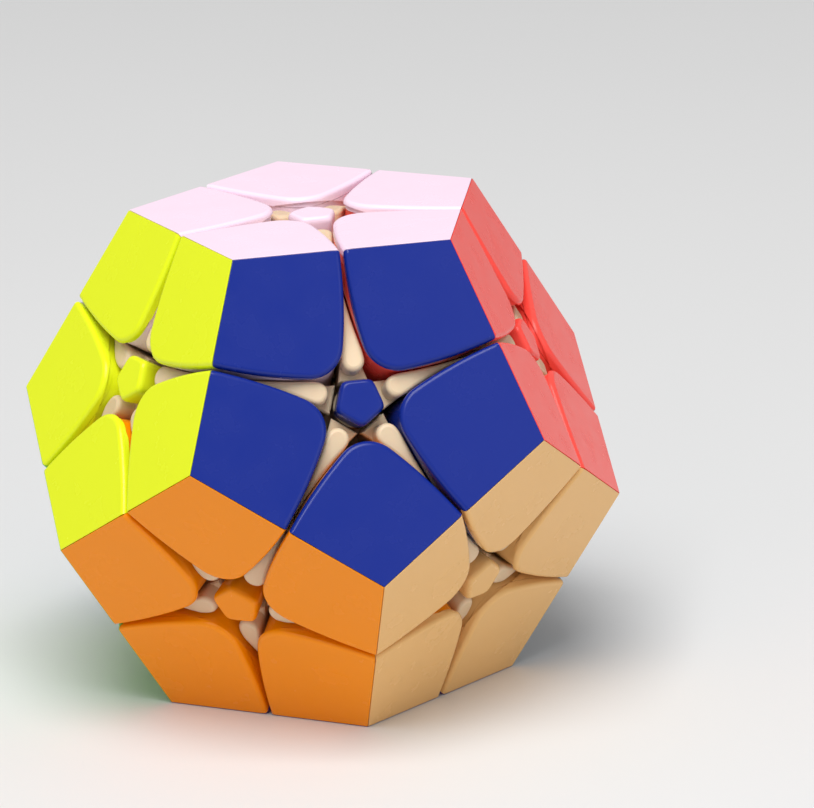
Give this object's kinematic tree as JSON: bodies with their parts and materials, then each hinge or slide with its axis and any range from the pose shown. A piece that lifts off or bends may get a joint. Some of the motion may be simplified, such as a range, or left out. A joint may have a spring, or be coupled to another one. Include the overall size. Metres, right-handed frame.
{
  "type": "dodecahedron twisty puzzle",
  "caption": "Twelve-sided twisty puzzle of kite-faced coloured corner pieces around small five-sided centre knobs, with layers that turn about the face axes.",
  "frame": {"origin": "centre of the core ball, where the twelve face axes cross", "axes": "+Z out of the pink face, with the purple face on the table; the blue face leans toward -Y and the red face lies toward +X"},
  "size_m": [0.0758, 0.0798, 0.0646],
  "materials": {
    "pink_plastic": "glossy moulded plastic in pink",
    "blue_plastic": "glossy moulded plastic in blue",
    "red_plastic": "glossy moulded plastic in red",
    "green_plastic": "glossy moulded plastic in green",
    "white_plastic": "glossy moulded plastic in white",
    "yellow_plastic": "glossy moulded plastic in yellow",
    "orange_plastic": "glossy moulded plastic in orange",
    "beige_plastic": "glossy moulded plastic in beige",
    "grey_plastic": "glossy moulded plastic in grey",
    "sky_plastic": "glossy moulded plastic in sky",
    "lime_plastic": "glossy moulded plastic in lime",
    "purple_plastic": "glossy moulded plastic in purple",
    "cream_plastic": "smooth moulded plastic in cream",
    "core_plastic": "plain moulded plastic",
    "steel": "plain steel"
  },
  "bodies": {
    "frame": {"core": "core_plastic", "centre_screws": "steel", "centre_springs": "steel", "spring_washers": "steel", "corner_pink_red_green": "red_plastic", "corner_red_green_grey": "red_plastic", "corner_yellow_orange_lime": "orange_plastic", "corner_red_beige_grey": "beige_plastic", "corner_green_grey_sky": "grey_plastic", "corner_feet_frame": "cream_plastic", "edge_pieces_frame_upper": "cream_plastic", "edge_pieces_frame_middle": "cream_plastic", "edge_pieces_frame_lower": "cream_plastic"},
    "pink_centre": {"centre_hub_pink": "cream_plastic", "centre_cap_pink": "pink_plastic"},
    "blue_layer": {"centre_hub_blue": "cream_plastic", "centre_cap_blue": "blue_plastic", "corner_pink_blue_yellow": "pink_plastic", "corner_pink_blue_red": "red_plastic", "corner_blue_yellow_orange": "blue_plastic", "corner_blue_red_beige": "blue_plastic", "corner_blue_orange_beige": "orange_plastic", "corner_feet_blue_layer": "cream_plastic", "edge_pieces_blue_layer": "cream_plastic"},
    "red_centre": {"centre_hub_red": "cream_plastic", "centre_cap_red": "red_plastic"},
    "green_centre": {"centre_hub_green": "cream_plastic", "centre_cap_green": "green_plastic"},
    "white_layer": {"centre_hub_white": "cream_plastic", "centre_cap_white": "white_plastic", "corner_pink_green_white": "pink_plastic", "corner_pink_white_yellow": "pink_plastic", "corner_green_white_sky": "green_plastic", "corner_white_yellow_lime": "yellow_plastic", "corner_white_sky_lime": "white_plastic", "corner_feet_white_layer": "cream_plastic", "edge_pieces_white_layer": "cream_plastic"},
    "yellow_centre": {"centre_hub_yellow": "cream_plastic", "centre_cap_yellow": "yellow_plastic"},
    "orange_centre": {"centre_hub_orange": "cream_plastic", "centre_cap_orange": "orange_plastic"},
    "beige_centre": {"centre_hub_beige": "cream_plastic", "centre_cap_beige": "beige_plastic"},
    "grey_centre": {"centre_hub_grey": "cream_plastic", "centre_cap_grey": "grey_plastic"},
    "sky_centre": {"centre_hub_sky": "cream_plastic", "centre_cap_sky": "sky_plastic"},
    "lime_centre": {"centre_hub_lime": "cream_plastic", "centre_cap_lime": "lime_plastic"},
    "purple_layer": {"centre_hub_purple": "cream_plastic", "centre_cap_purple": "purple_plastic", "corner_orange_lime_purple": "orange_plastic", "corner_orange_beige_purple": "orange_plastic", "corner_beige_grey_purple": "beige_plastic", "corner_grey_sky_purple": "sky_plastic", "corner_sky_lime_purple": "lime_plastic", "corner_feet_purple_layer": "cream_plastic", "edge_pieces_purple_layer": "cream_plastic"}
  },
  "joints": [
    {"name": "pink_centre_turn", "type": "hinge", "parent": "frame", "child": "pink_centre", "pos_m": [0, 0, 0], "axis": [0, 0, 1], "continuous": true},
    {"name": "blue_layer_turn", "type": "hinge", "parent": "frame", "child": "blue_layer", "pos_m": [0, 0, 0], "axis": [0, -0.8944, 0.4472], "continuous": true},
    {"name": "red_centre_turn", "type": "hinge", "parent": "frame", "child": "red_centre", "pos_m": [0, 0, 0], "axis": [0.8507, -0.2764, 0.4472], "continuous": true},
    {"name": "green_centre_turn", "type": "hinge", "parent": "frame", "child": "green_centre", "pos_m": [0, 0, 0], "axis": [0.5257, 0.7236, 0.4472], "continuous": true},
    {"name": "white_layer_turn", "type": "hinge", "parent": "frame", "child": "white_layer", "pos_m": [0, 0, 0], "axis": [-0.5257, 0.7236, 0.4472], "continuous": true},
    {"name": "yellow_centre_turn", "type": "hinge", "parent": "frame", "child": "yellow_centre", "pos_m": [0, 0, 0], "axis": [-0.8507, -0.2764, 0.4472], "continuous": true},
    {"name": "orange_centre_turn", "type": "hinge", "parent": "frame", "child": "orange_centre", "pos_m": [0, 0, 0], "axis": [-0.5257, -0.7236, -0.4472], "continuous": true},
    {"name": "beige_centre_turn", "type": "hinge", "parent": "frame", "child": "beige_centre", "pos_m": [0, 0, 0], "axis": [0.5257, -0.7236, -0.4472], "continuous": true},
    {"name": "grey_centre_turn", "type": "hinge", "parent": "frame", "child": "grey_centre", "pos_m": [0, 0, 0], "axis": [0.8507, 0.2764, -0.4472], "continuous": true},
    {"name": "sky_centre_turn", "type": "hinge", "parent": "frame", "child": "sky_centre", "pos_m": [0, 0, 0], "axis": [0, 0.8944, -0.4472], "continuous": true},
    {"name": "lime_centre_turn", "type": "hinge", "parent": "frame", "child": "lime_centre", "pos_m": [0, 0, 0], "axis": [-0.8507, 0.2764, -0.4472], "continuous": true},
    {"name": "purple_layer_turn", "type": "hinge", "parent": "frame", "child": "purple_layer", "pos_m": [0, 0, 0], "axis": [0, 0, -1], "continuous": true}
  ]
}
